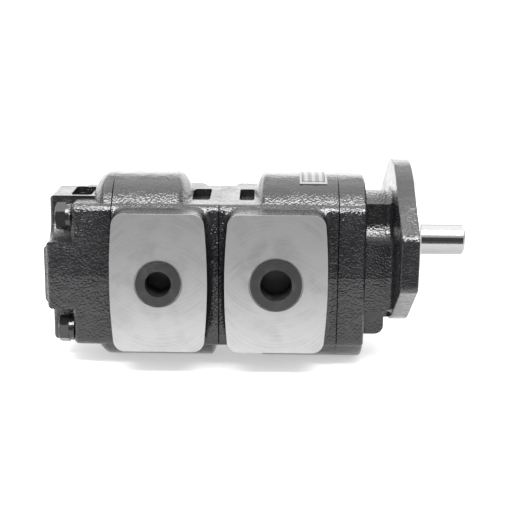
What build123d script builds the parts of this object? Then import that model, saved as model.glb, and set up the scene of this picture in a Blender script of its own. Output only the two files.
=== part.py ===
from build123d import *
from math import acos, cos, pi, radians, sin, sqrt, tan
import os

# Tandem external gear pump with an SAE B two-bolt flange, in millimetres.
# Origin: the shaft's axis at the flange's front face. +X runs out along the shaft, +Z is up.
# Two gear sets lie one behind the other: drive axis at z = 0, driven axis below it.

os.makedirs("parts", exist_ok=True)

# ---- drive end: flange, pilot and keyed shaft
shaft_d = 25.4
shaft_reach = 46.0
shaft_chamfer = 1.6
shaft_step_gap = 0.3
keyway_w = 6.35
keyway_depth = 3.3
keyway_len = 32.0
keyway_end_gap = 5.0
pilot_d = 101.6
pilot_h = 5.6
pilot_chamfer = 1.0
flange_t = 14.0
flange_r = 65.0
ear_reach = 87.0
ear_half_h = 23.5
ear_corner_r = 7.0
flange_edge_r = 1.5
mount_edge = 13.975
mount_hole_d = 14.3

# ---- lengths along the shaft, from the flange's front face backwards
front_cover_len = 57.4
front_body_len = 92.6
rear_body_len = 83.0
rear_cover_len = 31.5
front_block_len = 21.4

# ---- casting section, the same for all four housings
gear_centres = 44.0
body_half_w = 45.0
shoulder_h = 35.0
shoulder_r = 6.5
hump_r = 53.0
hump_half_angle = 50.0
pad_face = 66.0
pad_half_h = 54.2
pad_corner_r = 9.0
pad_bulge = 3.0
pad_root_r = 5.0
wall_overlap = 6.0
casting_spare = 12.0
front_pad_margin = 6.9
rear_pad_margin = 4.3
pocket_half_w = 23.0
pocket_corner_r = 3.0
pocket_depth = 6.0

# ---- front cover's neck and rear cover's ribs
web_half_w = 22.0
web_top_r = 39.5
web_low_z = -74.0
web_corner_r = 7.0
block_edge_r = 2.5
neck_root_r = 4.4
ridge_half_h = 27.0
neck_ridge_half_w = 42.5
neck_fillet_r = 14.0
rib_half_w = 21.0
rib_top = 37.0
rib_len = 20.0
rib_edge_r = 4.0
ridge_crown = 2.5
crown_taper = 45.0
cover_pocket_end = 0.5
cover_pocket_len = 16.5
cover_pocket_half_w = 17.5
cover_pocket_depth = 12.0
shaft_bore_gap = 0.8

# ---- humps and top pockets: how far each stays from its seam, and the length of its end slopes
front_hump_setback = 27.0
front_hump_run = 9.0
front_hump_root_r = 4.0
rear_hump_setback = 21.0
rear_hump_run = 13.0
rear_hump_root_r = 2.0
lower_hump_run = 7.0
cover_hump_len = 19.0
cover_hump_run = 14.0
front_pocket_len = 11.8
rear_pocket_len = 14.0
rear_pocket_start = 1.0

# ---- gears
teeth = 12
pressure_angle = 28.0
tip_factor = 1.0
root_factor = 1.15
backlash = 0.15
gear_side_gap = 0.05

# ---- bearing blocks, bushes and journals
front_block_a = 31.3
front_block_b = 22.0
rear_block_a = 23.0
rear_block_b = 25.0
front_end_wall = 5.3
rear_end_wall = 10.0
journal_d = 26.0
bush_wall = 2.0
bush_recess = 0.3
relief_w = 7.0
relief_l = 12.0
relief_depth = 1.2

# ---- splines between the two sets
spline_root_r = 8.5
spline_tip_r = 10.5
spline_keys = 6
spline_key_w = 3.6
coupling_od = 30.0
coupling_end_gap = 0.4
spline_end_gap = 0.5

# ---- seals
seal_groove_r = 28.5
seal_w = 3.0
seal_t = 2.4
balance_r = 20.5
balance_w = 2.6
balance_t = 2.0
lip_seal_r = 21.0
lip_seal_w = 8.0
lip_seal_setback = 3.3
ring_w = 1.6
ring_depth = 1.6

# ---- fastening
bolt_d = 12.0
bolt_af = 19.0
bolt_head_h = 8.0
bolt_face_r = 9.3
bolt_face_taper = 60.0
bolt_y = 35.0
bolt_from_mid_z = 45.6
bolt_hole_d = 13.0
bolt_tip_cover = 4.0
washer_od = 18.8
washer_t = 2.5
washer_slit = 1.5
boss_r = 9.6
boss_h = 1.5
dowel_d = 8.0
dowel_len = 16.0
dowel_y = 38.0
dowel_hole_depth = 8.5

# ---- ports: (thread core radius, drilling into the gear chamber, spotface radius)
port_depth = 26.0
rear_outlet = (12.06, 9.0, 18.5)
front_outlet = (15.14, 12.0, 21.0)
rear_inlet = (15.14, 11.5, 24.0)
front_inlet = (19.48, 15.5, 28.0)
spotface_depth = 1.0
port_chamfer = 1.0
plug_flange_t = 2.4
plug_depth = 24.0
plug_floor_t = 1.5
rear_plug = (10.0, 17.3)
front_plug = (12.2, 19.8)

# ---- rating plate
plate_len = 21.5
plate_from_seam = 8.6
plate_half_angle = 25.0
plate_t = 0.6

# ---- clearances
running_gap = 0.03
tip_gap = 0.08
slide_gap = 0.05
seat_gap = 0.02
thread_gap = 0.05

# ---- worked-out places
mid_z = -gear_centres / 2
seam_front = -front_cover_len
seam_middle = seam_front - front_body_len
seam_rear = seam_middle - rear_body_len
cover_floor = seam_rear - rear_cover_len
shaft_r = shaft_d / 2
journal_r = journal_d / 2
lip_seal_front = pilot_h - lip_seal_setback
pitch_r = gear_centres / 2
module = gear_centres / teeth
tip_r = pitch_r + tip_factor * module
root_r = pitch_r - root_factor * module
chamber_r = tip_r + tip_gap
bush_r = journal_r + running_gap + bush_wall
axes_z = (0, -gear_centres)

front_chamber_len = front_body_len - front_end_wall
rear_chamber_len = rear_body_len - rear_end_wall
front_gear_w = front_chamber_len - front_block_a - front_block_b
rear_gear_w = rear_chamber_len - rear_block_a - rear_block_b
front_gear_x = seam_front - front_block_a - front_gear_w
rear_gear_x = seam_rear + rear_block_b
front_chamber_x = seam_front - front_chamber_len
rear_chamber_end = seam_rear + rear_chamber_len
front_port_x = front_gear_x + front_gear_w / 2
rear_port_x = rear_gear_x + rear_gear_w / 2
front_pad_half_w = front_body_len / 2 - front_pad_margin
rear_pad_half_w = rear_body_len / 2 - rear_pad_margin
mount_spacing = 2 * (ear_reach - mount_edge)
front_hump_x = seam_middle + front_hump_setback
front_pocket_x = front_hump_x - front_pocket_len
rear_hump_end = seam_middle - rear_hump_setback
rear_pocket_x = rear_hump_end - rear_pocket_start
cover_hump_x = seam_rear - cover_hump_len
cover_pocket_x = cover_hump_x + cover_pocket_end - cover_pocket_len

bolt_points = [(y, mid_z + z) for y in (-bolt_y, bolt_y) for z in (-bolt_from_mid_z, bolt_from_mid_z)]
dowel_points = [(-dowel_y, mid_z), (dowel_y, mid_z)]
bolt_seat = cover_floor - boss_h
head_seat = bolt_seat - washer_t
bolt_tip = seam_front + front_block_len - bolt_tip_cover


def save(part, name):
    """Label a finished piece and write its STEP file."""
    part.label = name
    export_step(part, f"parts/{name}.step")


def block_outline():
    """Rounded block around both gear axes, in the plane across the shaft."""
    with BuildSketch() as outline:
        with Locations((0, mid_z)):
            RectangleRounded(2 * body_half_w, gear_centres + 2 * shoulder_h, shoulder_r)
    return outline.sketch


def chamber_outline(gap=0.0):
    """Figure eight of the gear chamber, made smaller by gap."""
    with BuildSketch() as outline:
        with Locations(*[(0, z) for z in axes_z]):
            Circle(chamber_r - gap)
    return outline.sketch


def seal_outline(inner_gap, outer_gap):
    """Racetrack ring around the chamber, taking in the gaps on its two sides."""
    with BuildSketch() as outline:
        with Locations((0, mid_z)):
            SlotCenterToCenter(gear_centres, 2 * (seal_groove_r + seal_w + outer_gap), rotation=90)
            SlotCenterToCenter(gear_centres, 2 * (seal_groove_r - inner_gap), rotation=90, mode=Mode.SUBTRACT)
    return outline.sketch


def balance_outline(gap=0.0):
    """Seal in the form of a 3 behind a bearing block: two open rings joined at the waist."""
    reach = 2 * gear_centres
    opening_y = balance_r * 0.55
    with BuildSketch() as outline:
        with Locations(*[(0, z) for z in axes_z]):
            Circle(balance_r + balance_w + gap)
        with Locations(*[(0, z) for z in axes_z]):
            Circle(balance_r - gap, mode=Mode.SUBTRACT)
        with Locations((opening_y + reach / 2 + gap, mid_z)):
            Rectangle(reach, 2 * reach, mode=Mode.SUBTRACT)
    return outline.sketch


def spline_outline(gap=0.0):
    """Straight-sided spline: a core circle with square keys round it."""
    with BuildSketch() as outline:
        Circle(spline_root_r + gap)
        with PolarLocations(spline_tip_r / 2 + gap / 2, spline_keys):
            Rectangle(spline_tip_r + gap, spline_key_w + 2 * gap)
    return outline.sketch


def gear_outline(first_tooth):
    """Involute gear, with the centre of one tooth at the angle first_tooth."""
    base_r = pitch_r * cos(radians(pressure_angle))
    half_at_pitch = (pi * module / 2 - backlash) / 2 / pitch_r

    def involute(radius):
        return sqrt((radius / base_r) ** 2 - 1) - acos(base_r / radius)

    def flank_point(radius, side):
        angle = side * (half_at_pitch + involute(pitch_r) - involute(radius))
        return (radius * cos(angle), radius * sin(angle))

    radii = [base_r + (tip_r - base_r) * step / 3 for step in range(4)]
    root_in = root_r - module / 4
    with BuildSketch() as tooth:
        with BuildLine():
            left = Spline(*[flank_point(radius, 1) for radius in radii])
            right = Spline(*[flank_point(radius, -1) for radius in radii])
            ThreePointArc(left @ 1, (tip_r, 0), right @ 1)
            Polyline(left @ 0, (root_in, (left @ 0).Y), (root_in, (right @ 0).Y), right @ 0)
        make_face()
    with BuildSketch() as outline:
        Circle(root_r)
        with PolarLocations(0, teeth, start_angle=first_tooth):
            add(tooth.sketch)
    return outline.sketch


def pad_outline(half_w):
    """Face of a port pad: rounded corners and slightly bulging sides."""
    corner = half_w - pad_bulge
    with BuildSketch() as outline:
        with BuildLine():
            Line((-corner, pad_half_h), (corner, pad_half_h))
            ThreePointArc((corner, pad_half_h), (half_w, 0), (corner, -pad_half_h))
            Line((corner, -pad_half_h), (-corner, -pad_half_h))
            ThreePointArc((-corner, -pad_half_h), (-half_w, 0), (-corner, pad_half_h))
        make_face()
        fillet(outline.vertices(), pad_corner_r)
    return outline.sketch


def hump_shape(x_rear, x_front, run_rear, run_front, top):
    """Half-round hump over a gear chamber, turned about that gear's axis.

    Each end rises over its run length; a run of zero is a flat end at a seam.
    """
    axis_z = 0 if top else -gear_centres
    start = -hump_half_angle if top else 180 - hump_half_angle
    plane = Plane((0, 0, axis_z), x_dir=(1, 0, 0), z_dir=(0, -cos(radians(start)), -sin(radians(start))))
    lift = 0.45
    core_r = shoulder_h - wall_overlap
    rise = shoulder_h - 1
    with BuildPart() as hump:
        with BuildSketch(plane):
            with BuildLine():
                rear_top = (x_rear + run_rear, hump_r)
                front_top = (x_front - run_front, hump_r)
                if run_rear:
                    Bezier((x_rear, rise), (x_rear + lift * run_rear, hump_r), rear_top)
                    Line((x_rear, core_r), (x_rear, rise))
                else:
                    Line((x_rear, core_r), rear_top)
                Line(rear_top, front_top)
                if run_front:
                    Bezier((x_front, rise), (x_front - lift * run_front, hump_r), front_top)
                    Line((x_front, core_r), (x_front, rise))
                else:
                    Line((x_front, core_r), front_top)
                Line((x_rear, core_r), (x_front, core_r))
            make_face()
        revolve(axis=Axis((0, 0, axis_z), (1, 0, 0)), revolution_arc=2 * hump_half_angle)
    return hump.part


def inner_corners(outline, half_w):
    """Corners of a crossed outline where its upright, half_w either side, meets the level ridge."""
    ridge_sides = (mid_z - ridge_half_h, mid_z + ridge_half_h)
    return [
        corner
        for corner in outline.vertices()
        if abs(abs(corner.X) - half_w) < 0.01 and min(abs(corner.Y - z) for z in ridge_sides) < 0.01
    ]


def edges_at(solid, x, chosen):
    """Edges of a solid that lie in the plane across the shaft at x and whose centre passes the test."""
    return [
        edge
        for edge in solid.edges()
        if abs(edge.bounding_box().min.X - x) < 0.01
        and abs(edge.bounding_box().max.X - x) < 0.01
        and chosen(edge.center())
    ]


def port_cutter(x, size, side):
    """Spotface, chamfered thread core and drilling into the waist of the chamber, from one side."""
    core_r, drill_r, spot_r = size
    floor = pad_face - port_depth
    seat = pad_face - spotface_depth
    inner = chamber_r / 3
    steps = [
        (0, pad_face + 1),
        (spot_r, pad_face + 1),
        (spot_r, seat),
        (core_r + port_chamfer, seat),
        (core_r, seat - port_chamfer),
        (core_r, floor),
        (drill_r, floor),
        (drill_r, inner),
        (0, inner),
    ]
    with BuildPart() as cutter:
        with BuildSketch(Plane.XY.offset(mid_z)):
            with BuildLine():
                Polyline(*[(x + radius, side * y) for radius, y in steps], close=True)
            make_face()
        revolve(axis=Axis((x, 0, mid_z), (0, 1, 0)))
    return cutter.part


def pump_body(rear_x, length, chamber, pad, humps, hump_root_r, pocket, ports, groove_faces):
    """One gear housing: block, humps and two port pads, bored out for its gear set."""
    chamber_x, chamber_len = chamber
    pad_x, pad_half_w = pad
    pocket_x, pocket_len = pocket
    with BuildPart() as body:
        with BuildSketch(Plane.YZ.offset(rear_x - casting_spare)):
            add(block_outline())
        extrude(amount=length + 2 * casting_spare)
        with BuildSketch(Plane.XZ.offset(-pad_face)):
            with Locations((pad_x, mid_z)):
                add(pad_outline(pad_half_w))
        extrude(amount=2 * pad_face)
        roots = [
            edge
            for edge in body.edges(Select.NEW)
            if abs(edge.center().Y) < body_half_w + pad_root_r / 2
            and abs(edge.center().X - pad_x) < pad_half_w + pad_root_r / 2
        ]
        fillet(roots, pad_root_r)
        split(bisect_by=Plane.YZ.offset(rear_x), keep=Keep.TOP)
        split(bisect_by=Plane.YZ.offset(rear_x + length), keep=Keep.BOTTOM)
        for hump in humps:
            add(hump)
        hump_roots = [
            edge
            for edge in body.edges()
            if abs(edge.bounding_box().min.Z - shoulder_h) < 0.01
            and abs(edge.bounding_box().max.Z - shoulder_h) < 0.01
            and abs(edge.center().Y) < body_half_w - shoulder_r - 0.5
            and rear_x + 0.01 < edge.center().X < rear_x + length - 0.01
        ]
        fillet(hump_roots, hump_root_r)
        with BuildSketch(Plane.XY.offset(shoulder_h - pocket_depth)):
            with Locations((pocket_x + pocket_len / 2, 0)):
                RectangleRounded(pocket_len, 2 * pocket_half_w, pocket_corner_r)
        extrude(amount=hump_r, mode=Mode.SUBTRACT)
        with BuildSketch(Plane.YZ.offset(chamber_x)):
            add(chamber_outline())
        extrude(amount=chamber_len, mode=Mode.SUBTRACT)
        with BuildSketch(Plane.YZ.offset(rear_x)):
            Circle(coupling_od / 2 + tip_gap)
        extrude(amount=length, mode=Mode.SUBTRACT)
        with BuildSketch(Plane.YZ.offset(rear_x)):
            with Locations(*bolt_points):
                Circle(bolt_hole_d / 2)
        extrude(amount=length, mode=Mode.SUBTRACT)
        for face_x, inward in ((rear_x, 1), (rear_x + length, -1)):
            with BuildSketch(Plane.YZ.offset(face_x)):
                with Locations(*dowel_points):
                    Circle(dowel_d / 2 + seat_gap)
            extrude(amount=inward * dowel_hole_depth, mode=Mode.SUBTRACT)
        for face_x, inward in groove_faces:
            with BuildSketch(Plane.YZ.offset(face_x)):
                add(seal_outline(slide_gap, slide_gap))
            extrude(amount=inward * (seal_t + slide_gap), mode=Mode.SUBTRACT)
        for cutter in ports:
            add(cutter, mode=Mode.SUBTRACT)
    return body.part


# ---- gear housings
front_body = pump_body(
    seam_middle,
    front_body_len,
    (front_chamber_x, front_chamber_len),
    (front_port_x, front_pad_half_w),
    [
        hump_shape(front_hump_x, seam_front, front_hump_run, 0, top=True),
        hump_shape(front_hump_x, seam_front, front_hump_run, 0, top=False),
    ],
    front_hump_root_r,
    (front_pocket_x, front_pocket_len),
    [
        port_cutter(front_port_x, front_outlet, -1),
        port_cutter(front_port_x, front_inlet, 1),
    ],
    [(seam_middle, 1), (seam_front, -1)],
)
save(front_body, "front_pump_body")

rear_body = pump_body(
    seam_rear,
    rear_body_len,
    (seam_rear, rear_chamber_len),
    (rear_port_x, rear_pad_half_w),
    [
        hump_shape(seam_rear, rear_hump_end, 0, rear_hump_run, top=True),
        hump_shape(seam_rear, seam_middle, 0, lower_hump_run, top=False),
    ],
    rear_hump_root_r,
    (rear_pocket_x, rear_pocket_len),
    [
        port_cutter(rear_port_x, rear_outlet, -1),
        port_cutter(rear_port_x, rear_inlet, 1),
    ],
    [(seam_rear, 1)],
)
save(rear_body, "rear_pump_body")


def neck_outline():
    """Section of the front cover's neck: an upright web with a round top, crossed by a level ridge."""
    with BuildSketch() as neck:
        Circle(web_top_r)
        with Locations((0, (web_low_z - web_top_r) / 2)):
            Rectangle(2 * web_top_r, web_top_r - web_low_z)
        with Locations((0, (web_low_z + web_top_r) / 2)):
            Rectangle(2 * web_half_w, web_top_r - web_low_z, mode=Mode.INTERSECT)
        with Locations((0, mid_z)):
            Rectangle(2 * neck_ridge_half_w, 2 * ridge_half_h)
        fillet(inner_corners(neck, web_half_w), neck_fillet_r)
    return neck.sketch


def flange_outline(inset):
    """Round flange with two ears, joined by tangent lines and drawn in from the rim by the inset."""
    with BuildSketch() as rim:
        Circle(flange_r - inset)
        with GridLocations(2 * (ear_reach - ear_corner_r), 2 * (ear_half_h - ear_corner_r), 2, 2):
            Circle(ear_corner_r - inset)
        make_hull(rim.edges())
    return rim.sketch


def flange_plate():
    """Flange with the edges of its rim rounded, before its holes."""
    with BuildPart() as plate:
        with BuildSketch(Plane.YZ.offset(-flange_t)):
            add(flange_outline(0))
        extrude(amount=flange_t)
        fillet(plate.edges().filter_by(Axis.X, reverse=True), flange_edge_r)
    return plate.part


def neck_foot():
    """Hollow round where the neck meets the flange's back, trimmed to the flange's flat."""
    foot_len = neck_root_r + 1
    with BuildPart() as foot:
        with BuildSketch(Plane.YZ.offset(-flange_t)):
            Rectangle(2 * ear_reach, 2 * ear_reach)
        extrude(amount=1)
        with BuildSketch(Plane.YZ.offset(-flange_t)):
            add(neck_outline())
        extrude(amount=-foot_len)
        corner_edges = edges_at(foot, -flange_t, lambda c: abs(c.Y) < flange_r and abs(c.Z) < ear_reach - 1)
        fillet(corner_edges, neck_root_r)
        with BuildSketch(Plane.YZ.offset(-flange_t - foot_len)):
            add(flange_outline(flange_edge_r))
        extrude(amount=foot_len + 1, mode=Mode.INTERSECT)
    return foot.part


# ---- front cover: mounting flange, pilot, neck and block in one casting
block_front = seam_front + front_block_len
neck_end = -flange_t - neck_root_r
with BuildPart() as front_cover:
    with BuildSketch(Plane.YZ.offset(seam_front)):
        add(block_outline())
    extrude(amount=front_block_len)
    for top in (True, False):
        add(hump_shape(seam_front, block_front, 0, 0, top))
    fillet(edges_at(front_cover, block_front, lambda c: True), block_edge_r)
    with BuildSketch(Plane.YZ.offset(block_front - block_edge_r)):
        add(neck_outline())
    extrude(amount=neck_end - block_front + block_edge_r)
    fillet(edges_at(front_cover, neck_end, lambda c: c.Z < web_low_z + 1), web_corner_r)
    add(neck_foot())
    add(flange_plate())
    with BuildSketch(Plane.YZ.offset(-flange_t)):
        with GridLocations(mount_spacing, 0, 2, 1):
            Circle(mount_hole_d / 2)
    extrude(amount=flange_t, mode=Mode.SUBTRACT)
    with BuildSketch(Plane.YZ):
        Circle(pilot_d / 2)
    extrude(amount=pilot_h)
    pilot_edge = front_cover.edges().filter_by(GeomType.CIRCLE).sort_by(Axis.X)[-1]
    chamfer(pilot_edge, pilot_chamfer)
    with BuildSketch(Plane.YZ.offset(seam_front)):
        Circle(journal_r + shaft_bore_gap)
    extrude(amount=front_cover_len, mode=Mode.SUBTRACT)
    with BuildSketch(Plane.YZ.offset(pilot_h)):
        Circle(lip_seal_r)
    extrude(amount=lip_seal_front - lip_seal_w - pilot_h, mode=Mode.SUBTRACT)
    with BuildSketch(Plane.YZ.offset(lip_seal_front)):
        Circle(lip_seal_r + ring_depth / 2)
    extrude(amount=ring_w + slide_gap, mode=Mode.SUBTRACT)
    with BuildSketch(Plane.YZ.offset(seam_front)):
        with Locations(*bolt_points):
            Circle(bolt_d / 2 + thread_gap)
    extrude(amount=front_block_len - bolt_tip_cover + 1, mode=Mode.SUBTRACT)
    with BuildSketch(Plane.YZ.offset(seam_front)):
        with Locations(*dowel_points):
            Circle(dowel_d / 2 + seat_gap)
    extrude(amount=dowel_hole_depth, mode=Mode.SUBTRACT)
save(front_cover.part, "front_cover")

# ---- rear cover: closing plate with a crossed pair of ribs and four bolt seats
with BuildPart() as rear_cover:
    with BuildSketch(Plane.YZ.offset(seam_rear)):
        add(block_outline())
    extrude(amount=-rear_cover_len)
    rear_edges = rear_cover.faces().sort_by(Axis.X)[0].edges()
    fillet(rear_edges, rib_edge_r)
    for top in (True, False):
        add(hump_shape(cover_hump_x, seam_rear, cover_hump_run, 0, top))
    with BuildSketch(Plane.YZ.offset(cover_floor + rear_cover_len / 2)) as cross:
        with Locations((0, mid_z)):
            Rectangle(2 * rib_half_w, 2 * (rib_top - mid_z))
            Rectangle(2 * body_half_w, 2 * ridge_half_h)
        fillet(inner_corners(cross, rib_half_w), neck_fillet_r)
    extrude(amount=-rear_cover_len / 2 - rib_len)
    fillet(edges_at(rear_cover, cover_floor - rib_len, lambda c: True), rib_edge_r)
    with BuildSketch(Plane.YZ.offset(cover_floor - rib_len)):
        with Locations((0, mid_z)):
            Rectangle(2 * (body_half_w - rib_edge_r), 2 * (ridge_half_h - rib_edge_r))
    extrude(amount=-ridge_crown, taper=crown_taper)
    with BuildSketch(Plane.YZ.offset(cover_floor)):
        with Locations(*bolt_points):
            Circle(boss_r)
    extrude(amount=-boss_h)
    with BuildSketch(Plane.XY.offset(rib_top - cover_pocket_depth)):
        with Locations((cover_pocket_x + cover_pocket_len / 2, 0)):
            RectangleRounded(cover_pocket_len, 2 * cover_pocket_half_w, pocket_corner_r)
    extrude(amount=hump_r, mode=Mode.SUBTRACT)
    with BuildSketch(Plane.YZ.offset(seam_rear)):
        with Locations(*bolt_points):
            Circle(bolt_hole_d / 2)
    extrude(amount=-rear_cover_len - boss_h, mode=Mode.SUBTRACT)
    with BuildSketch(Plane.YZ.offset(seam_rear)):
        with Locations(*dowel_points):
            Circle(dowel_d / 2 + seat_gap)
    extrude(amount=-dowel_hole_depth, mode=Mode.SUBTRACT)
save(rear_cover.part, "rear_cover")

# ---- bearing blocks with their bushes, one pair in each chamber
front_rear_block_x = front_chamber_x
front_front_block_x = front_gear_x + front_gear_w
rear_front_block_x = rear_gear_x + rear_gear_w
blocks = [
    ("front_set_front", front_front_block_x, front_block_a, -1),
    ("front_set_rear", front_rear_block_x, front_block_b, 1),
    ("rear_set_front", rear_front_block_x, rear_block_a, -1),
    ("rear_set_rear", seam_rear, rear_block_b, 1),
]
for name, block_x, block_t, gear_side in blocks:
    back_x = block_x if gear_side > 0 else block_x + block_t
    gear_x = block_x + block_t if gear_side > 0 else block_x
    with BuildPart() as block:
        with BuildSketch(Plane.YZ.offset(block_x)):
            add(chamber_outline(slide_gap))
            with Locations(*[(0, z) for z in axes_z]):
                Circle(bush_r, mode=Mode.SUBTRACT)
        extrude(amount=block_t)
        with BuildSketch(Plane.YZ.offset(back_x)):
            add(balance_outline(slide_gap))
        extrude(amount=gear_side * (balance_t + slide_gap), mode=Mode.SUBTRACT)
        with BuildSketch(Plane.YZ.offset(gear_x)):
            with Locations((-relief_l, mid_z), (relief_l, mid_z)):
                RectangleRounded(relief_l, relief_w, relief_w / 4)
        extrude(amount=-gear_side * relief_depth, mode=Mode.SUBTRACT)
    save(block.part, f"{name}_bearing_block")
    with BuildPart() as bushes:
        with BuildSketch(Plane.YZ.offset(block_x + bush_recess)):
            with Locations(*[(0, z) for z in axes_z]):
                Circle(bush_r - seat_gap)
                Circle(journal_r + running_gap, mode=Mode.SUBTRACT)
        extrude(amount=block_t - 2 * bush_recess)
    save(bushes.part, f"{name}_bushes")
    with BuildPart() as balance_seal:
        with BuildSketch(Plane.YZ.offset(back_x)):
            add(balance_outline())
        extrude(amount=gear_side * balance_t)
    save(balance_seal.part, f"{name}_balance_seal")


def geared_shaft(steps, gear_x, gear_w, axis_z, first_tooth, spline_ends):
    """Stepped shaft turned about its axis, with an involute gear and any splined ends on it."""
    profile = []
    for x_from, x_to, radius in steps:
        profile += [(x_from, axis_z + radius), (x_to, axis_z + radius)]
    with BuildPart() as shaft:
        with BuildSketch(Plane.XZ):
            with BuildLine():
                Polyline((steps[0][0], axis_z), *profile, (steps[-1][1], axis_z), close=True)
            make_face()
        revolve(axis=Axis((0, 0, axis_z), (1, 0, 0)))
        with BuildSketch(Plane.YZ.offset(gear_x + gear_side_gap)):
            with Locations((0, axis_z)):
                add(gear_outline(first_tooth))
        extrude(amount=gear_w - 2 * gear_side_gap)
        for x_from, x_to in spline_ends:
            with BuildSketch(Plane.YZ.offset(x_from)):
                add(spline_outline())
            extrude(amount=x_to - x_from)
    return shaft.part


# ---- gears and shafts: a drive tooth points down into a driven space
tooth_down = -90
space_up = 90 + 180 / teeth
joint_x = (front_chamber_x + rear_chamber_end) / 2
front_spline_end = joint_x + spline_end_gap / 2
rear_spline_end = joint_x - spline_end_gap / 2

drive_steps = [
    (shaft_reach, pilot_h + shaft_step_gap, shaft_r),
    (pilot_h + shaft_step_gap, front_chamber_x + bush_recess, journal_r),
]
drive_blank = geared_shaft(
    drive_steps,
    front_gear_x,
    front_gear_w,
    0,
    tooth_down,
    [(front_spline_end, front_chamber_x + bush_recess)],
)
with BuildPart() as drive_shaft:
    add(drive_blank)
    chamfer(drive_shaft.edges().filter_by(GeomType.CIRCLE).sort_by(Axis.X)[-1], shaft_chamfer)
    with BuildSketch(Plane.XZ.offset(-shaft_r)):
        with Locations((shaft_reach - keyway_end_gap - keyway_len / 2, 0)):
            SlotOverall(keyway_len, keyway_w)
    extrude(amount=keyway_depth, mode=Mode.SUBTRACT)
save(drive_shaft.part, "drive_shaft")

rear_drive_gear = geared_shaft(
    [(rear_chamber_end - bush_recess, seam_rear + bush_recess, journal_r)],
    rear_gear_x,
    rear_gear_w,
    0,
    tooth_down,
    [(rear_chamber_end - bush_recess, rear_spline_end)],
)
save(rear_drive_gear, "rear_drive_gear")

front_driven_gear = geared_shaft(
    [(seam_front - bush_recess, front_chamber_x + bush_recess, journal_r)],
    front_gear_x,
    front_gear_w,
    -gear_centres,
    space_up,
    [],
)
save(front_driven_gear, "front_driven_gear")

rear_driven_gear = geared_shaft(
    [(rear_chamber_end - bush_recess, seam_rear + bush_recess, journal_r)],
    rear_gear_x,
    rear_gear_w,
    -gear_centres,
    space_up,
    [],
)
save(rear_driven_gear, "rear_driven_gear")

with BuildPart() as coupling:
    with BuildSketch(Plane.YZ.offset(rear_chamber_end + coupling_end_gap)):
        Circle(coupling_od / 2)
        add(spline_outline(slide_gap), mode=Mode.SUBTRACT)
    extrude(amount=front_chamber_x - rear_chamber_end - 2 * coupling_end_gap)
save(coupling.part, "shaft_coupling")

# ---- shaft seal and its retaining ring, in the pilot's mouth
with BuildPart() as lip_seal:
    with BuildSketch(Plane.YZ.offset(lip_seal_front - lip_seal_w)):
        Circle(lip_seal_r - seat_gap)
        Circle(journal_r + running_gap, mode=Mode.SUBTRACT)
    extrude(amount=lip_seal_w - slide_gap)
save(lip_seal.part, "shaft_lip_seal")

with BuildPart() as seal_ring:
    with BuildSketch(Plane.YZ.offset(lip_seal_front)):
        Circle(lip_seal_r + ring_depth / 2 - slide_gap)
        Circle(lip_seal_r - ring_depth, mode=Mode.SUBTRACT)
        with Locations((0, lip_seal_r)):
            Rectangle(4 * ring_w, 4 * ring_depth, mode=Mode.SUBTRACT)
    extrude(amount=ring_w)
save(seal_ring.part, "seal_retaining_ring")

# ---- seals between the housings
seal_places = [("front", seam_front - seal_t), ("middle", seam_middle), ("rear", seam_rear)]
for name, seal_x in seal_places:
    with BuildPart() as seam_seal:
        with BuildSketch(Plane.YZ.offset(seal_x)):
            add(seal_outline(0, 0))
        extrude(amount=seal_t)
    save(seam_seal.part, f"{name}_seam_seal")

# ---- dowel pins, two across each seam
with BuildPart() as dowels:
    for seam in (seam_front, seam_middle, seam_rear):
        with BuildSketch(Plane.YZ.offset(seam - dowel_len / 2)):
            with Locations(*dowel_points):
                Circle(dowel_d / 2)
        extrude(amount=dowel_len)
save(dowels.part, "dowel_pins")

# ---- tie bolts: chamfered hexagon heads behind the rear cover, tips in the front cover
with BuildPart() as tie_bolts:
    with BuildSketch(Plane.YZ.offset(head_seat)):
        with Locations(*bolt_points):
            RegularPolygon(bolt_af / 2, 6, major_radius=False, rotation=30)
    extrude(amount=-bolt_head_h)
    with BuildSketch(Plane.YZ.offset(head_seat)):
        with Locations(*bolt_points):
            Circle(bolt_face_r + bolt_head_h * tan(radians(bolt_face_taper)))
    extrude(amount=-bolt_head_h, taper=bolt_face_taper, mode=Mode.INTERSECT)
    with BuildSketch(Plane.YZ.offset(head_seat)):
        with Locations(*bolt_points):
            Circle(bolt_d / 2)
    extrude(amount=bolt_tip - head_seat)
save(tie_bolts.part, "tie_bolts")

with BuildPart() as washers:
    with BuildSketch(Plane.YZ.offset(head_seat)):
        with Locations(*bolt_points):
            Circle(washer_od / 2)
            Circle(bolt_d / 2 + slide_gap, mode=Mode.SUBTRACT)
        with Locations(*[(y, z - washer_od / 2) for y, z in bolt_points]):
            Rectangle(washer_slit, washer_od, mode=Mode.SUBTRACT)
    extrude(amount=washer_t)
save(washers.part, "tie_bolt_lock_washers")


def port_plug(x, port, plug):
    """Hollow push-in plug with a flat rim, for a port on the near side."""
    cup_r, rim_r = plug
    core_r = port[0]
    rim_back = pad_face - spotface_depth
    rim_front = rim_back + plug_flange_t
    tip = rim_front - plug_depth
    outer = core_r - slide_gap
    steps = [
        (cup_r, rim_front),
        (rim_r, rim_front),
        (rim_r, rim_back),
        (outer, rim_back),
        (outer, tip - plug_floor_t),
        (0, tip - plug_floor_t),
        (0, tip),
        (cup_r, tip),
    ]
    with BuildPart() as cap:
        with BuildSketch(Plane.XY.offset(mid_z)):
            with BuildLine():
                Polyline(*[(x + radius, -y) for radius, y in steps], close=True)
            make_face()
        revolve(axis=Axis((x, 0, mid_z), (0, 1, 0)))
    return cap.part


save(port_plug(rear_port_x, rear_outlet, rear_plug), "rear_outlet_plug")
save(port_plug(front_port_x, front_outlet, front_plug), "front_outlet_plug")

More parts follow.
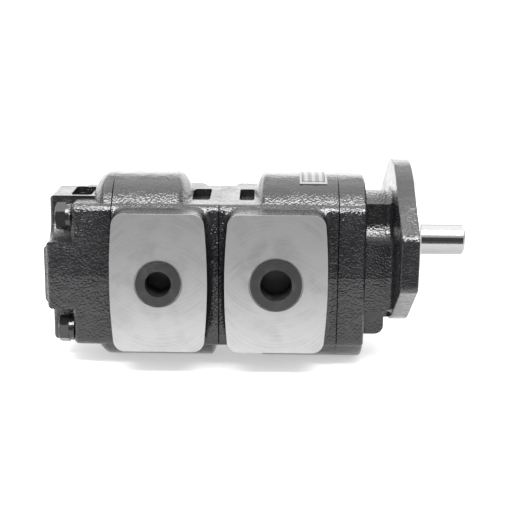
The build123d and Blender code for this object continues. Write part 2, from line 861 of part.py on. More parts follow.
# ---- blank rating plate, curved over the front hump
with BuildPart() as plate:
    with BuildSketch(Plane.YZ.offset(seam_front - plate_from_seam - plate_len)):
        with BuildLine():
            inner_r = hump_r + slide_gap
            outer_r = inner_r + plate_t
            start = 90 - plate_half_angle
            low = CenterArc((0, 0), inner_r, start, 2 * plate_half_angle)
            high = CenterArc((0, 0), outer_r, start, 2 * plate_half_angle)
            Line(low @ 0, high @ 0)
            Line(low @ 1, high @ 1)
        make_face()
    extrude(amount=plate_len)
save(plate.part, "rating_plate")
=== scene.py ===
"""Looks of the tandem gear pump: its finishes, the threads of its inlets and the studio round it."""

import logging
from dataclasses import dataclass, field
from enum import Enum
from typing import Union

import bpy
import numpy as np
from mathutils import Matrix, Vector


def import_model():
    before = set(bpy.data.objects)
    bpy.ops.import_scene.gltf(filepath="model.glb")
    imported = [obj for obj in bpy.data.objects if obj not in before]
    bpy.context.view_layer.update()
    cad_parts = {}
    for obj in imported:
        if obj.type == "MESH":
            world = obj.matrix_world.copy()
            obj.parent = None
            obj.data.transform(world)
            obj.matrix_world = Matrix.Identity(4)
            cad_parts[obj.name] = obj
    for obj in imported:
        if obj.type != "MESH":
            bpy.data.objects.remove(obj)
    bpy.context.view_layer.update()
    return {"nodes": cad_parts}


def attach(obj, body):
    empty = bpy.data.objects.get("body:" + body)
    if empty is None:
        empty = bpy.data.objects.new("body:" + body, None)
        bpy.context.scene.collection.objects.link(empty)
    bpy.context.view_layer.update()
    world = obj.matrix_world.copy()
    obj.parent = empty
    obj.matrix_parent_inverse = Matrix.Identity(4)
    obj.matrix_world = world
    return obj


LOG = logging.getLogger("gear_pump")
Colour = tuple[float, float, float]
Place = tuple[float, float, float]
Edge = tuple[float, float]
Socket = bpy.types.NodeSocket
Value = Union[float, Socket]

# Places in the frame, in metres. X runs along the shaft and Z up, from the shaft's axis.
MIDDLE_Z = -0.022
FRONT_SEAM_X = -0.0574
FRONT_PORT_X = -0.1057
MIDDLE_SEAM_X = -0.150
REAR_PORT_X = -0.1955
REAR_SEAM_X = -0.233

MILLIMETRE = 0.001
WHITE = (1.0, 1.0, 1.0, 1.0)


class Lay(Enum):
    """Which way the marks of a tool run on a metal face."""

    TURNED = "turned"
    MILLED = "milled"
    DRAWN = "drawn"


def scaled(colour: Colour, share: float) -> Colour:
    """Returns a colour with each of its parts times a share."""
    return tuple(part * share for part in colour)


class Sheet:
    """The node tree of one material, with short ways to add nodes and join them."""

    def __init__(self, name: str) -> None:
        """Starts an empty tree with one Principled shader joined to the output.

        Args:
            name: the material's name.
        """
        self.material = bpy.data.materials.new(name)
        self.material.use_nodes = True
        self.nodes = self.material.node_tree.nodes
        self.links = self.material.node_tree.links
        self.nodes.clear()
        self.shader = self.nodes.new("ShaderNodeBsdfPrincipled")
        output = self.nodes.new("ShaderNodeOutputMaterial")
        self.links.new(self.shader.outputs["BSDF"], output.inputs["Surface"])
        self.place = self.nodes.new("ShaderNodeTexCoord").outputs["Object"]
        parts = self.nodes.new("ShaderNodeSeparateXYZ")
        self.links.new(self.place, parts.inputs[0])
        self.x, self.y, self.z = parts.outputs[0], parts.outputs[1], parts.outputs[2]

    def feed(self, target: Socket, value: Value) -> None:
        """Sets a socket to a number, or joins another socket to it.

        Args:
            target: the socket that is set.
            value: the number or the socket that it takes.
        """
        if isinstance(value, bpy.types.NodeSocket):
            self.links.new(value, target)
        else:
            target.default_value = value

    def tint(self, target: Socket, colour: Union[Colour, Socket]) -> None:
        """Sets a colour socket to a solid colour, or joins another socket to it."""
        self.feed(target, colour if isinstance(colour, bpy.types.NodeSocket) else (*colour, 1.0))

    def math(self, operation: str, *values: Value) -> Socket:
        """Adds a Math node.

        Args:
            operation: the node's operation, such as ADD.
            values: its one to three inputs, each a number or a socket.

        Returns:
            The node's output socket.
        """
        node = self.nodes.new("ShaderNodeMath")
        node.operation = operation
        for target, value in zip(node.inputs, values):
            self.feed(target, value)
        return node.outputs[0]

    def plus(self, first: Value, second: Value) -> Socket:
        """Returns the sum of two values."""
        return self.math("ADD", first, second)

    def minus(self, first: Value, second: Value) -> Socket:
        """Returns the first value less the second."""
        return self.math("SUBTRACT", first, second)

    def times(self, first: Value, second: Value) -> Socket:
        """Returns the product of two values."""
        return self.math("MULTIPLY", first, second)

    def over(self, first: Value, second: Value) -> Socket:
        """Returns the first value divided by the second."""
        return self.math("DIVIDE", first, second)

    def most(self, first: Value, second: Value) -> Socket:
        """Returns the larger of two values."""
        return self.math("MAXIMUM", first, second)

    def away(self, value: Value, middle: Value) -> Socket:
        """Returns how far a value lies from a middle, to either side."""
        return self.math("ABSOLUTE", self.minus(value, middle))

    def length(self, first: Value, second: Value) -> Socket:
        """Returns the length of the vector with these two parts."""
        return self.math("SQRT", self.plus(self.times(first, first), self.times(second, second)))

    def fade(self, value: float, share: Value) -> Socket:
        """Returns a value that falls to nothing as a share rises to one."""
        return self.minus(value, self.times(share, value))

    def between(self, share: Value, none: Value, full: Value) -> Socket:
        """Returns one value at a share of 0, another at a share of 1, and a mix between."""
        return self.plus(self.times(none, self.minus(1.0, share)), self.times(full, share))

    def step(self, value: Value, start: float, end: float, low: float = 0.0, high: float = 1.0) -> Socket:
        """Adds a smooth step.

        Args:
            value: what is stepped.
            start: where the step starts.
            end: where it ends, which may be below the start.
            low: the result before the start.
            high: the result after the end.

        Returns:
            The stepped value.
        """
        node = self.nodes.new("ShaderNodeMapRange")
        node.interpolation_type = "SMOOTHSTEP"
        ends = (value, start, end, low, high)
        if end < start:
            ends = (value, end, start, high, low)
        for target, entry in zip(node.inputs, ends):
            self.feed(target, entry)
        return node.outputs[0]

    def grain(self, size: float, detail: float = 2.0) -> Socket:
        """Adds a noise pattern.

        Args:
            size: how far apart its features are, in metres.
            detail: how many finer layers it has.

        Returns:
            The noise, from 0 to 1.
        """
        scale = self.nodes.new("ShaderNodeMapping")
        scale.inputs["Scale"].default_value = (1.0 / size,) * 3
        self.links.new(self.place, scale.inputs["Vector"])
        noise = self.nodes.new("ShaderNodeTexNoise")
        noise.inputs["Scale"].default_value = 1.0
        noise.inputs["Detail"].default_value = detail
        noise.inputs["Roughness"].default_value = 0.5
        self.links.new(scale.outputs[0], noise.inputs["Vector"])
        return noise.outputs[0]

    def marks(self, along: Value, size: float, slow: Value = 0.0, detail: float = 2.0) -> Socket:
        """Adds tool marks, a noise that changes quickly along one value and slowly along another.

        Args:
            along: the value that the marks follow, in metres.
            size: how far apart the marks are, in metres.
            slow: the value that they fade along, already scaled.
            detail: how many finer layers they have.

        Returns:
            The marks, from 0 to 1.
        """
        joined = self.nodes.new("ShaderNodeCombineXYZ")
        self.feed(joined.inputs[0], self.over(along, size))
        self.feed(joined.inputs[1], slow)
        noise = self.nodes.new("ShaderNodeTexNoise")
        noise.inputs["Scale"].default_value = 1.0
        noise.inputs["Detail"].default_value = detail
        self.links.new(joined.outputs[0], noise.inputs["Vector"])
        return noise.outputs[0]

    def blend(self, share: Value, first: Union[Colour, Socket], second: Union[Colour, Socket]) -> Socket:
        """Adds a colour mix.

        Args:
            share: how much of the second colour there is, from 0 to 1.
            first: the colour at a share of 0.
            second: the colour at a share of 1.

        Returns:
            The mixed colour.
        """
        node = self.nodes.new("ShaderNodeMix")
        node.data_type = "RGBA"
        self.feed(node.inputs[0], share)
        self.tint(node.inputs[6], first)
        self.tint(node.inputs[7], second)
        return node.outputs[2]

    def relief(self, height: Value) -> None:
        """Joins a height to the shader as a bump.

        Args:
            height: the height, in millimetres.
        """
        bump = self.nodes.new("ShaderNodeBump")
        bump.inputs["Strength"].default_value = 1.0
        bump.inputs["Distance"].default_value = MILLIMETRE
        self.feed(bump.inputs["Height"], height)
        self.links.new(bump.outputs[0], self.shader.inputs["Normal"])

    def paint(self, colour: Union[Colour, Socket], metal: Value, rough: Value) -> None:
        """Sets or joins the main inputs of the shader.

        Args:
            colour: its base colour.
            metal: how metallic it is, from 0 to 1.
            rough: its roughness, from 0 to 1.
        """
        self.tint(self.shader.inputs["Base Color"], colour)
        self.feed(self.shader.inputs["Metallic"], metal)
        self.feed(self.shader.inputs["Roughness"], rough)

    def glow(self, strength: float) -> None:
        """Makes the shader give off white light of its own."""
        self.shader.inputs["Emission Color"].default_value = WHITE
        self.shader.inputs["Emission Strength"].default_value = strength


@dataclass(frozen=True)
class Patches:
    """Soft-edged patches cut from a noise pattern, with what they give outside and inside."""

    size: float
    detail: float
    start: float
    end: float
    low: float = 0.0
    high: float = 1.0

    def on(self, s: Sheet) -> Socket:
        """Adds the patches to a material and returns their value."""
        return s.step(s.grain(self.size, self.detail), self.start, self.end, self.low, self.high)


@dataclass(frozen=True)
class CastPaint:
    """Gloss black paint on a sand-cast skin, left off where the iron is machined.

    Places and sizes are in metres, heights and depths of the relief in millimetres.
    """

    name: str = "painted_casting"

    paint_colour: Colour = (0.010, 0.010, 0.011)
    paint_gloss: Patches = Patches(0.006, 2.0, 0.3, 0.7, 0.08, 0.15)
    dust: Patches = Patches(0.011, 3.0, 0.35, 0.75)
    dust_lift: float = 1.5

    iron_colour: Colour = (0.36, 0.36, 0.362)
    iron_metal: float = 0.85
    iron_rough: float = 0.34
    iron_stain: Patches = Patches(0.018, 4.0, 0.52, 0.75)
    iron_stain_drop: float = 0.9
    speck_colour: Colour = (0.2, 0.2, 0.202)
    specks: Patches = Patches(0.0007, 2.0, 0.55, 0.75, 0.0, 0.25)

    oil_colour: Colour = (0.10, 0.10, 0.10)
    oil: Patches = Patches(0.012, 3.0, 0.35, 0.7, 0.0, 0.22)
    oil_rise: float = 0.008
    oil_reach: float = 0.004
    oil_core: float = 0.006

    pad_level: float = 0.0651
    pad_level_edge: float = 0.0001
    pad_end: float = -0.050
    pad_end_edge: float = 0.001
    face_level: float = -0.0004
    face_edge: float = 0.0002
    ports: tuple[tuple[float, float], ...] = ((REAR_PORT_X, 0.0243), (FRONT_PORT_X, 0.0283))
    port_edge: float = 0.0003
    port_depth: float = 0.036
    port_depth_edge: float = 0.0005

    seams: tuple[float, ...] = (FRONT_SEAM_X, MIDDLE_SEAM_X, REAR_SEAM_X)
    # Painted shade: near-black colour of the seam lines and of the ring in the pilot's undercut.
    seam_shade_colour: Colour = (0.003, 0.003, 0.003)
    seam_width: float = 0.00055
    seam_core: float = 0.5
    seam_depth: float = 0.15
    pilot_root: float = 0.0512
    pilot_root_end: Edge = (0.0008, 0.0004)

    draft: float = 50.0
    pits: Patches = Patches(0.0017, 1.5, 0.30, 0.70)
    peel_height: float = 0.34
    swell_span: float = 5.0
    swell_share: float = 1.2
    calm: Patches = Patches(0.030, 1.0, 0.35, 0.65, 0.55, 1.0)
    crown_top: float = 0.041
    crown_below: float = 0.003
    crown_above: float = 0.005
    crown_calm: float = 0.33

    cut_colour: Colour = (0.15, 0.15, 0.152)
    cut_edge: Edge = (0.35, 0.75)
    cut_patches: Patches = Patches(0.016, 1.0, 0.40, 0.65, 0.06, 0.30)
    cut_rough: float = 0.12
    cutter_radius: float = 0.047
    cutter_step: float = 0.0011
    cutter_height: float = 0.008
    cutter_fade: float = 14.0
    cutter_detail: float = 3.0
    cutter_overlap: float = 0.014
    pads_edge: float = 0.0001
    turning_share: float = 0.7
    turning_detail: float = 2.0

    def build(self) -> bpy.types.Material:
        """Makes the material.

        Returns:
            Paint with an orange-peel skin; bare iron on the port pads, in the ports and on the flange's
            front; painted shade as near-black lines in the seams and round the pilot's undercut root.
        """
        s = Sheet(self.name)
        bare = self.machined(s)
        seam = self.seam_shade_lines(s, bare)
        marks = self.cuts(s)
        s.relief(self.height(s, bare, seam, marks))
        paint = s.blend(self.dust.on(s), self.paint_colour, scaled(self.paint_colour, self.dust_lift))
        # Painted shade: the seam lines turn near black and fully metallic, so they reflect almost nothing.
        colour = s.blend(seam, s.blend(bare, paint, self.iron(s, marks)), self.seam_shade_colour)
        milled = s.plus(s.times(marks, self.cut_rough), self.iron_rough)
        rough = s.between(bare, self.paint_gloss.on(s), milled)
        s.paint(colour, s.most(s.times(bare, self.iron_metal), seam), rough)
        return s.material

    def machined(self, s: Sheet) -> Socket:
        """Finds where the paint is left off.

        Args:
            s: the material.

        Returns:
            1 on the port pads, in the ports and on the flange's front, and 0 elsewhere.
        """
        side = s.math("ABSOLUTE", s.y)
        level = s.step(side, self.pad_level - self.pad_level_edge, self.pad_level + self.pad_level_edge)
        bare = s.times(level, s.step(s.x, self.pad_end, self.pad_end - self.pad_end_edge))
        bare = s.most(bare, self.flange_front(s))
        deep = s.step(side, self.port_depth, self.port_depth + self.port_depth_edge)
        for x, radius in self.ports:
            reach = s.length(s.minus(s.x, x), s.minus(s.z, MIDDLE_Z))
            bare = s.most(bare, s.times(deep, s.step(reach, radius, radius - self.port_edge)))
        return bare

    def flange_front(self, s: Sheet) -> Socket:
        """Returns 1 on the flange's front and ahead of it, and 0 behind."""
        return s.step(s.x, self.face_level - self.face_edge, self.face_level)

    def line(self, s: Sheet, gap: Value) -> Socket:
        """Returns 1 in the middle of a seam and 0 outside it, from how far off its middle is."""
        return s.step(gap, self.seam_width, self.seam_width * self.seam_core)

    def seam_shade_lines(self, s: Sheet, bare: Value) -> Socket:
        """Draws painted shade: near-black lines in the seams between the castings and a ring in the pilot's
        undercut.

        Args:
            s: the material.
            bare: where the paint is left off.

        Returns:
            1 on the lines and 0 elsewhere.
        """
        seam: Value = 0.0
        for x in self.seams:
            seam = s.most(seam, self.line(s, s.away(s.x, x)))
        # Painted shade in the undercut round the pilot's root, drawn only on bare iron.
        root = self.line(s, s.away(s.length(s.y, s.z), self.pilot_root))
        root = s.times(root, s.step(s.x, *self.pilot_root_end))
        return s.most(seam, s.times(root, bare))

    def height(self, s: Sheet, bare: Value, seam: Value, marks: Value) -> Socket:
        """Adds up the relief: the skin, the cutters' marks, the seams and the crease of the draft.

        Args:
            s: the material.
            bare: where the paint is left off.
            seam: where the seams are.
            marks: the cutters' marks.

        Returns:
            The height, in millimetres.
        """
        height = s.times(self.skin(s), s.fade(self.peel_height, bare))
        height = s.plus(height, s.times(s.times(marks, bare), self.cutter_height))
        height = s.minus(height, s.times(seam, self.seam_depth))
        return s.minus(height, s.times(s.away(s.z, MIDDLE_Z), s.fade(self.draft, bare)))

    def iron(self, s: Sheet, marks: Value) -> Socket:
        """Mixes the colour of the bare iron, with its stains, cuts, specks and oil.

        Args:
            s: the material.
            marks: the cutters' marks.

        Returns:
            The colour.
        """
        stained = scaled(self.iron_colour, self.iron_stain_drop)
        worn = s.blend(self.iron_stain.on(s), self.iron_colour, stained)
        cut = s.times(s.step(marks, *self.cut_edge), self.cut_patches.on(s))
        worn = s.blend(cut, worn, self.cut_colour)
        worn = s.blend(self.specks.on(s), worn, self.speck_colour)
        return s.blend(self.stained(s), worn, self.oil_colour)

    def stained(self, s: Sheet) -> Socket:
        """Finds the oil stains on the pads, patchy and darkest just above the ports.

        Args:
            s: the material.

        Returns:
            The share of oil.
        """
        stain: Value = 0.0
        for x, radius in self.ports:
            reach = s.length(s.minus(s.x, x), s.minus(s.z, MIDDLE_Z + self.oil_rise))
            stain = s.most(stain, s.step(reach, radius + self.oil_reach, radius - self.oil_core))
        return s.times(stain, self.oil.on(s))

    def skin(self, s: Sheet) -> Socket:
        """Makes the cast skin: close pits whose depth comes and goes, over a slow swell.

        Args:
            s: the material.

        Returns:
            The skin's height, as a share of the peel's height.
        """
        pits = self.pits.on(s)
        swell = s.grain(self.pits.size * self.swell_span, 1.0)
        rise = s.away(s.z, MIDDLE_Z)
        crown = self.crown_top - MIDDLE_Z
        smooth = s.step(rise, crown - self.crown_below, crown + self.crown_above, 1.0, self.crown_calm)
        calm = s.times(self.calm.on(s), smooth)
        return s.plus(s.times(pits, calm), s.times(swell, self.swell_share))

    def cuts(self, s: Sheet) -> Socket:
        """Makes the cutters' marks: arches and bowls of one radius down the pads, circles on the flange.

        Args:
            s: the material.

        Returns:
            The marks, from 0 to 1.
        """
        across = s.minus(s.x, FRONT_PORT_X)
        rear = s.step(s.x, MIDDLE_SEAM_X, MIDDLE_SEAM_X - self.pads_edge)
        across = s.plus(across, s.times(rear, FRONT_PORT_X - REAR_PORT_X))
        bow = s.minus(self.cutter_radius**2, s.times(across, across))
        bow = s.math("SQRT", s.most(bow, 0.0))
        slow = s.times(across, self.cutter_fade)
        arches = s.marks(s.minus(s.z, bow), self.cutter_step, slow, self.cutter_detail)
        bowls = s.marks(s.plus(s.z, bow), self.cutter_step, slow, self.cutter_detail)
        upper = s.step(s.z, MIDDLE_Z - self.cutter_overlap, MIDDLE_Z + self.cutter_overlap)
        milled = s.between(upper, bowls, arches)
        turned = s.marks(s.length(s.y, s.z), self.cutter_step * self.turning_share, 0.0, self.turning_detail)
        return s.between(self.flange_front(s), milled, turned)


@dataclass(frozen=True)
class BareMetal:
    """Bare metal with tool marks and a patchy tarnish."""

    name: str
    colour: Colour
    rough: float
    lay: Lay
    mark_size: float = 0.00035
    mark_height: float = 0.004
    mark_detail: float = 3.0
    mark_fade: float = 30.0
    mark_rough: float = 0.5
    base_rough: float = 0.75
    face_share: float = 0.8
    slant: float = 0.35
    tarnish: float = 0.12
    tarnish_size: float = 0.009
    tarnish_detail: float = 4.0
    tarnish_edge: Edge = (0.45, 0.8)
    tarnish_drop: float = 0.45
    tarnish_rough: float = 0.4

    def build(self) -> bpy.types.Material:
        """Makes the material, its marks round the X axis, across the face or along it.

        Returns:
            The material.
        """
        s = Sheet(self.name)
        along: Value = s.x
        if self.lay is Lay.TURNED:
            along = s.plus(s.x, s.times(s.length(s.y, s.z), self.face_share))
        elif self.lay is Lay.MILLED:
            along = s.plus(s.y, s.times(s.z, self.slant))
        marks = s.marks(along, self.mark_size, s.times(s.z, self.mark_fade), self.mark_detail)
        patches = Patches(self.tarnish_size, self.tarnish_detail, *self.tarnish_edge, 0.0, self.tarnish)
        dull = patches.on(s)
        s.relief(s.times(marks, self.mark_height))
        worn = s.blend(dull, self.colour, scaled(self.colour, self.tarnish_drop))
        rough = s.plus(s.times(marks, self.rough * self.mark_rough), self.rough * self.base_rough)
        s.paint(worn, 1.0, s.plus(rough, s.times(dull, self.tarnish_rough)))
        return s.material


@dataclass(frozen=True)
class Moulded:
    """Moulded rubber or plastic with a fine skin and a little dust."""

    name: str
    colour: Colour
    rough: float
    skin_size: float = 0.0006
    skin_height: float = 0.012
    dust: Patches = Patches(0.007, 4.0, 0.45, 0.8)
    dust_lift: float = 1.5
    dust_tint: float = 0.006
    dust_rough: float = 0.15

    def build(self) -> bpy.types.Material:
        """Makes the material.

        Returns:
            The material.
        """
        s = Sheet(self.name)
        dust = self.dust.on(s)
        s.relief(s.times(s.grain(self.skin_size), self.skin_height))
        dusty = tuple(part * self.dust_lift + self.dust_tint for part in self.colour)
        rough = s.plus(s.times(dust, self.dust_rough), self.rough)
        s.paint(s.blend(dust, self.colour, dusty), 0.0, rough)
        return s.material


@dataclass(frozen=True)
class BlackedBolt:
    """Gloss black paint over forged bolts, worn thin in patches."""

    name: str = "black_bolt"
    colour: Colour = (0.012, 0.012, 0.013)
    thin_colour: Colour = (0.05, 0.05, 0.052)
    thin: Patches = Patches(0.003, 4.0, 0.62, 0.78)
    skin_size: float = 0.0016
    skin_height: float = 0.05
    gloss_edge: Edge = (0.3, 0.7)
    gloss_range: Edge = (0.13, 0.24)

    def build(self) -> bpy.types.Material:
        """Makes the material.

        Returns:
            The material.
        """
        s = Sheet(self.name)
        skin = s.grain(self.skin_size)
        s.relief(s.times(skin, self.skin_height))
        colour = s.blend(self.thin.on(s), self.colour, self.thin_colour)
        s.paint(colour, 0.0, s.step(skin, *self.gloss_edge, *self.gloss_range))
        return s.material


@dataclass(frozen=True)
class PrintedPlate:
    """A pale plate with a dark frame and blank dark fields, laid out along X and round the crown.

    The layout runs from 0 at the plate's middle to 1 at its ends, along X and round the shaft's axis.
    """

    name: str = "plate_aluminium"
    middle_x: float = -0.07675
    half_length: float = 0.01075
    half_angle: float = 0.4363
    pale: Colour = (0.24, 0.24, 0.24)
    ink: Colour = (0.05, 0.05, 0.052)
    frame_outside: tuple[Edge, Edge] = ((0.86, 0.84), (0.90, 0.89))
    frame_inside: tuple[Edge, Edge] = ((0.78, 0.76), (0.86, 0.85))
    bars_along: float = 1.9
    bar_edge: Edge = (0.28, 0.26)
    rows_round: float = 7.0
    row_edge: Edge = (0.25, 0.3)
    field_share: float = 0.8
    ink_depth: float = -0.03
    metal: float = 0.3
    rough: float = 0.3
    grain_size: float = 0.004
    grain_rough: float = 0.2

    def build(self) -> bpy.types.Material:
        """Makes the material.

        Returns:
            The material.
        """
        s = Sheet(self.name)
        u = s.over(s.away(s.x, self.middle_x), self.half_length)
        v = s.over(s.math("ARCTAN2", s.math("ABSOLUTE", s.y), s.z), self.half_angle)
        inside, hollow = (
            s.times(s.step(u, *along), s.step(v, *round_crown))
            for along, round_crown in (self.frame_outside, self.frame_inside)
        )
        bars = s.step(s.away(s.math("FRACT", s.times(u, self.bars_along)), 0.5), *self.bar_edge)
        rows = s.step(s.math("FRACT", s.times(v, self.rows_round)), *self.row_edge)
        fields = s.times(s.times(bars, rows), hollow)
        printed = s.plus(s.minus(inside, hollow), s.times(fields, self.field_share))
        printed = s.math("MINIMUM", printed, 1.0)
        s.relief(s.times(printed, self.ink_depth))
        rough = s.plus(s.times(s.grain(self.grain_size), self.grain_rough), self.rough)
        s.paint(s.blend(printed, self.pale, self.ink), s.times(s.minus(1.0, printed), self.metal), rough)
        return s.material


class Finishes:
    """The record's material slots and the material that each one gets."""

    def __init__(self) -> None:
        """Builds one material for each slot."""
        kinds = (
            CastPaint(),
            BareMetal(
                "ground_steel", (0.29, 0.288, 0.286), 0.13, Lay.TURNED, mark_height=0.002, tarnish=0.04
            ),
            BareMetal("gear_steel", (0.52, 0.51, 0.50), 0.28, Lay.TURNED, mark_size=0.0006),
            BareMetal("spring_steel", (0.20, 0.20, 0.21), 0.30, Lay.DRAWN, mark_size=0.0008),
            BareMetal("block_aluminium", (0.78, 0.78, 0.79), 0.32, Lay.MILLED, mark_size=0.0008),
            BareMetal("bearing_bronze", (0.55, 0.36, 0.18), 0.30, Lay.TURNED, mark_size=0.0005),
            Moulded("black_rubber", (0.012, 0.012, 0.012), 0.50),
            BlackedBolt(),
            Moulded("plug_plastic", (0.010, 0.010, 0.010), 0.42),
            PrintedPlate(),
        )
        self.materials: dict[str, bpy.types.Material] = {kind.name: kind.build() for kind in kinds}

    def dress(self, obj: bpy.types.Object, slot: str) -> None:
        """Gives an object the material of a slot, in place of what it carries."""
        obj.data.materials.clear()
        obj.data.materials.append(self.materials[slot])


def mesh_object(name: str, points: np.ndarray, faces: np.ndarray, smooth: bool = True) -> bpy.types.Object:
    """Puts points and faces into a mesh and links it at the origin, its faces turned as they are given.

    Args:
        name: the object's name.
        points: an array of points, in metres.
        faces: an array of quads, as point numbers.
        smooth: whether its faces are shaded smooth.

    Returns:
        The object.
    """
    mesh = bpy.data.meshes.new(name)
    mesh.from_pydata(points.tolist(), [], faces.tolist())
    mesh.validate()
    mesh.polygons.foreach_set("use_smooth", np.full(len(mesh.polygons), smooth))
    mesh.update()
    obj = bpy.data.objects.new(name, mesh)
    bpy.context.scene.collection.objects.link(obj)
    return obj


@dataclass
class PortThread:
    """The crest of an inside pipe thread, standing in from the wall of a port."""

    name: str
    middle: Place
    bore_radius: float
    start_y: float
    end_y: float
    pitch: float = 0.00231
    flank_share: float = 0.45
    height: float = 0.0008
    crest: float = 0.0006
    sunk: float = 0.0001
    run_out: float = 0.5
    end_width: float = 0.2
    steps: int = 72

    def build(self, finishes: Finishes) -> bpy.types.Object:
        """Carries a wedge-shaped section of four points along a helix about the Y axis.

        The point at turn t and section point k lies at radius R - h[k] * f(t) + s * (1 - f(t)) and at
        y = y0 + pitch * t + w[k]. R is the bore's radius, s how deep the foot is sunk in the wall, and f
        runs from 0 to 1 and back in the first and last half turn. Where f is 0, w is narrowed, so each
        end closes to a small face inside the wall. In the order given here, the faces point inwards.

        Args:
            finishes: the materials.

        Returns:
            The thread as one mesh that rides on the housing.
        """
        turns = (self.end_y - self.start_y) / self.pitch
        t = np.linspace(0.0, turns, int(turns * self.steps))[:, None]
        half, tip = self.pitch * self.flank_share, self.crest / 2
        wide = np.array([-half, -tip, tip, half])[None, :]
        high = np.array([-self.sunk, self.height, self.height, -self.sunk])[None, :]
        fade = np.clip(np.minimum(t, turns - t) / self.run_out, 0.0, 1.0)
        radius = self.bore_radius - high * fade + self.sunk * (1.0 - fade)
        angle = 2.0 * np.pi * t
        x = self.middle[0] + radius * np.cos(angle)
        z = self.middle[2] + radius * np.sin(angle)
        y = self.start_y + self.pitch * t + wide * np.where(fade > 0.0, 1.0, self.end_width)
        points = np.stack(np.broadcast_arrays(x, y, z), axis=-1).reshape(-1, 3)
        rows, cols = len(t), wide.shape[1]
        i = np.arange(rows - 1)[:, None] * cols
        k = np.arange(cols)[None, :]
        n = (k + 1) % cols
        quads = np.stack([i + k, i + n, i + cols + n, i + cols + k], axis=-1).reshape(-1, 4)
        caps = np.array([np.arange(cols)[::-1], (rows - 1) * cols + np.arange(cols)])
        piece = mesh_object(self.name, points, np.concatenate([quads, caps]))
        finishes.dress(piece, "painted_casting")
        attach(piece, "housing")
        return piece


@dataclass
class Castings:
    """The four painted castings, with the threads of the two open inlets."""

    nodes: dict[str, bpy.types.Object]
    names: tuple[str, ...] = ("front_cover", "front_pump_body", "rear_pump_body", "rear_cover")
    inlets: tuple[tuple[str, float, float], ...] = (
        ("rear_inlet_thread", REAR_PORT_X, 0.01514),
        ("front_inlet_thread", FRONT_PORT_X, 0.01948),
    )
    thread_start: float = 0.0465
    thread_end: float = 0.0625

    def build(self, finishes: Finishes) -> None:
        """Dresses the castings and cuts the threads.

        Args:
            finishes: the materials.
        """
        for name in self.names:
            finishes.dress(self.nodes[name], "painted_casting")
            LOG.info("dressed %s", name)
        for name, x, radius in self.inlets:
            thread = PortThread(name, (x, 0.0, MIDDLE_Z), radius, self.thread_start, self.thread_end)
            thread.build(finishes)
            LOG.info("built %s", name)


@dataclass
class Fittings:
    """Every other node and the slot that it takes its finish from, by its name or what that ends in."""

    nodes: dict[str, bpy.types.Object]
    slots: dict[str, str] = field(
        default_factory=lambda: {
            "drive_shaft": "ground_steel",
            "shaft_coupling": "gear_steel",
            "rear_drive_gear": "gear_steel",
            "front_driven_gear": "gear_steel",
            "rear_driven_gear": "gear_steel",
            "dowel_pins": "gear_steel",
            "tie_bolts": "black_bolt",
            "tie_bolt_lock_washers": "black_bolt",
            "shaft_lip_seal": "black_rubber",
            "seal_retaining_ring": "spring_steel",
            "rear_outlet_plug": "plug_plastic",
            "front_outlet_plug": "plug_plastic",
            "rating_plate": "plate_aluminium",
        }
    )
    endings: dict[str, str] = field(
        default_factory=lambda: {
            "bearing_block": "block_aluminium",
            "bushes": "bearing_bronze",
            "seal": "black_rubber",
        }
    )

    def build(self, finishes: Finishes) -> None:
        """Dresses each node that has a slot here.

        Args:
            finishes: the materials.
        """
        for name, node in self.nodes.items():
            by_ending = (slot for ending, slot in self.endings.items() if name.endswith(ending))
            slot = self.slots.get(name) or next(by_ending, None)
            if slot is not None:
                finishes.dress(node, slot)
                LOG.info("dressed %s in %s", name, slot)


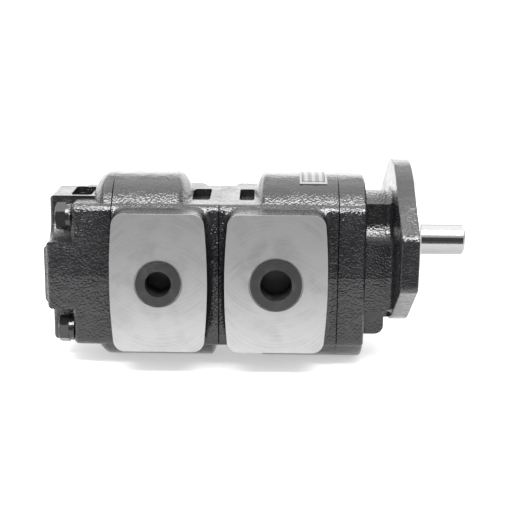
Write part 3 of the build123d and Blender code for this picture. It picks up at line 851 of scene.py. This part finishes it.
@dataclass
class Studio:
    """A pale floor, a white world, four soft boxes, a dark card for reflections, and the camera."""

    aim: Place = (-0.14, 0.0, -0.02)
    sky: float = 1.25

    floor_z: float = -0.0971
    floor_half: float = 12.0
    floor_glow: float = 0.45
    floor_rough: float = 0.9
    floor_dark: Colour = (0.86, 0.86, 0.86)
    floor_pale: Colour = (0.90, 0.90, 0.90)
    floor_mottle: float = 0.4
    floor_detail: float = 3.0

    # Name, place, width and depth, radiance, and whether matt faces see the box as well as glossy ones.
    boxes: tuple[tuple[str, Place, tuple[float, float], float, bool], ...] = (
        ("front_strip", (-0.14, -0.80, 1.10), (1.8, 0.30), 13.0, True),
        ("glint_panel", (-0.14, -0.66, 1.27), (1.8, 0.86), 17.0, False),
        ("top_panel", (-0.14, 0.55, 1.6), (2.4, 1.5), 1.8, False),
        ("back_panel", (-0.14, 2.4, 1.0), (7.0, 1.5), 1.75, False),
    )

    card_colour: Colour = (0.012, 0.012, 0.012)
    card_glow: float = 0.08
    card_near: float = 0.25
    card_far: float = 1.6
    card_top: float = 0.75
    card_half_width: float = 1.6
    card_lift: float = 0.001

    camera_place: Place = (-0.1168, -0.9078, 0.2130)
    camera_yaw: float = -0.006
    camera_pitch: float = 0.246
    camera_roll: float = 0.009
    lens: float = 81.13
    sensor_width: float = 36.0

    def build(self) -> None:
        """Builds the floor, the card, the lights and the camera."""
        self.floor()
        self.card()
        self.lights()
        self.camera()
        bpy.context.scene.view_settings.view_transform = "Standard"
        LOG.info("built the studio")

    def floor(self) -> None:
        """Lays a wide pale floor, a flat square grid of two by two faces about the frame's origin."""
        side = np.linspace(-self.floor_half, self.floor_half, 3)
        x, y = np.meshgrid(side, side, indexing="ij")
        points = np.stack([x, y, np.full_like(x, self.floor_z)], axis=-1).reshape(-1, 3)
        i = (np.arange(2)[:, None] * 3 + np.arange(2)[None, :]).reshape(-1, 1)
        obj = mesh_object("floor", points, i + np.array([[0, 3, 4, 1]]))
        s = Sheet("floor_paper")
        mottle = s.grain(self.floor_mottle, self.floor_detail)
        s.paint(s.blend(mottle, self.floor_dark, self.floor_pale), 0.0, self.floor_rough)
        s.glow(self.floor_glow)
        obj.data.materials.append(s.material)

    def card(self) -> None:
        """Lays a dark card just over the floor in front, with its far end turned up into a wall.

        Only reflections see it.
        """
        away = -np.array([self.card_near, self.card_far, self.card_far])
        low = self.floor_z + self.card_lift
        rise = np.array([low, low, self.card_top])
        edges = [
            np.stack([np.full(3, self.aim[0] + side * self.card_half_width), away, rise], axis=-1)
            for side in (-1.0, 1.0)
        ]
        obj = mesh_object("dark_card", np.concatenate(edges), np.array([[0, 1, 4, 3], [1, 2, 5, 4]]), False)
        s = Sheet("card_black")
        s.paint(self.card_colour, 0.0, 1.0)
        s.glow(self.card_glow)
        obj.data.materials.append(s.material)
        for ray in ("camera", "diffuse", "transmission", "volume_scatter", "shadow"):
            setattr(obj, f"visible_{ray}", False)

    def lights(self) -> None:
        """Sets a white world and hangs the soft boxes, each one turned to the pump."""
        world = bpy.data.worlds.new("studio")
        world.use_nodes = True
        back = world.node_tree.nodes["Background"]
        back.inputs["Color"].default_value = WHITE
        back.inputs["Strength"].default_value = self.sky
        bpy.context.scene.world = world
        for name, place, size, radiance, seen_by_all in self.boxes:
            lamp = bpy.data.lights.new(name, "AREA")
            lamp.shape = "RECTANGLE"
            lamp.size, lamp.size_y = size
            lamp.energy = radiance * np.pi * size[0] * size[1]
            obj = bpy.data.objects.new(name, lamp)
            bpy.context.scene.collection.objects.link(obj)
            aim = Vector(self.aim) - Vector(place)
            turn = aim.to_track_quat("-Z", "Y").to_matrix().to_4x4()
            obj.matrix_world = Matrix.Translation(place) @ turn
            obj.visible_diffuse = seen_by_all

    def camera(self) -> None:
        """Sets the camera from its place, and its yaw, pitch and roll in radians."""
        yaw, pitch, roll = self.camera_yaw, self.camera_pitch, self.camera_roll
        ahead = np.array([np.sin(yaw) * np.cos(pitch), np.cos(yaw) * np.cos(pitch), -np.sin(pitch)])
        right = np.array([np.cos(yaw), -np.sin(yaw), 0.0])
        down = np.cross(ahead, right)
        turned_right = np.cos(roll) * right - np.sin(roll) * down
        turned_down = np.sin(roll) * right + np.cos(roll) * down
        turn = Matrix(np.stack([turned_right, -turned_down, -ahead], axis=1).tolist()).to_4x4()
        lens = bpy.data.cameras.new("camera")
        lens.lens, lens.sensor_width = self.lens, self.sensor_width
        obj = bpy.data.objects.new("camera", lens)
        bpy.context.scene.collection.objects.link(obj)
        obj.matrix_world = Matrix.Translation(self.camera_place) @ turn
        bpy.context.scene.camera = obj


def main() -> None:
    """Loads the frame, dresses the pump and builds the studio."""
    logging.basicConfig(level=logging.INFO, format="%(name)s: %(message)s")
    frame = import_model()
    finishes = Finishes()
    Castings(frame["nodes"]).build(finishes)
    Fittings(frame["nodes"]).build(finishes)
    Studio().build()


if __name__ == "__main__":
    main()
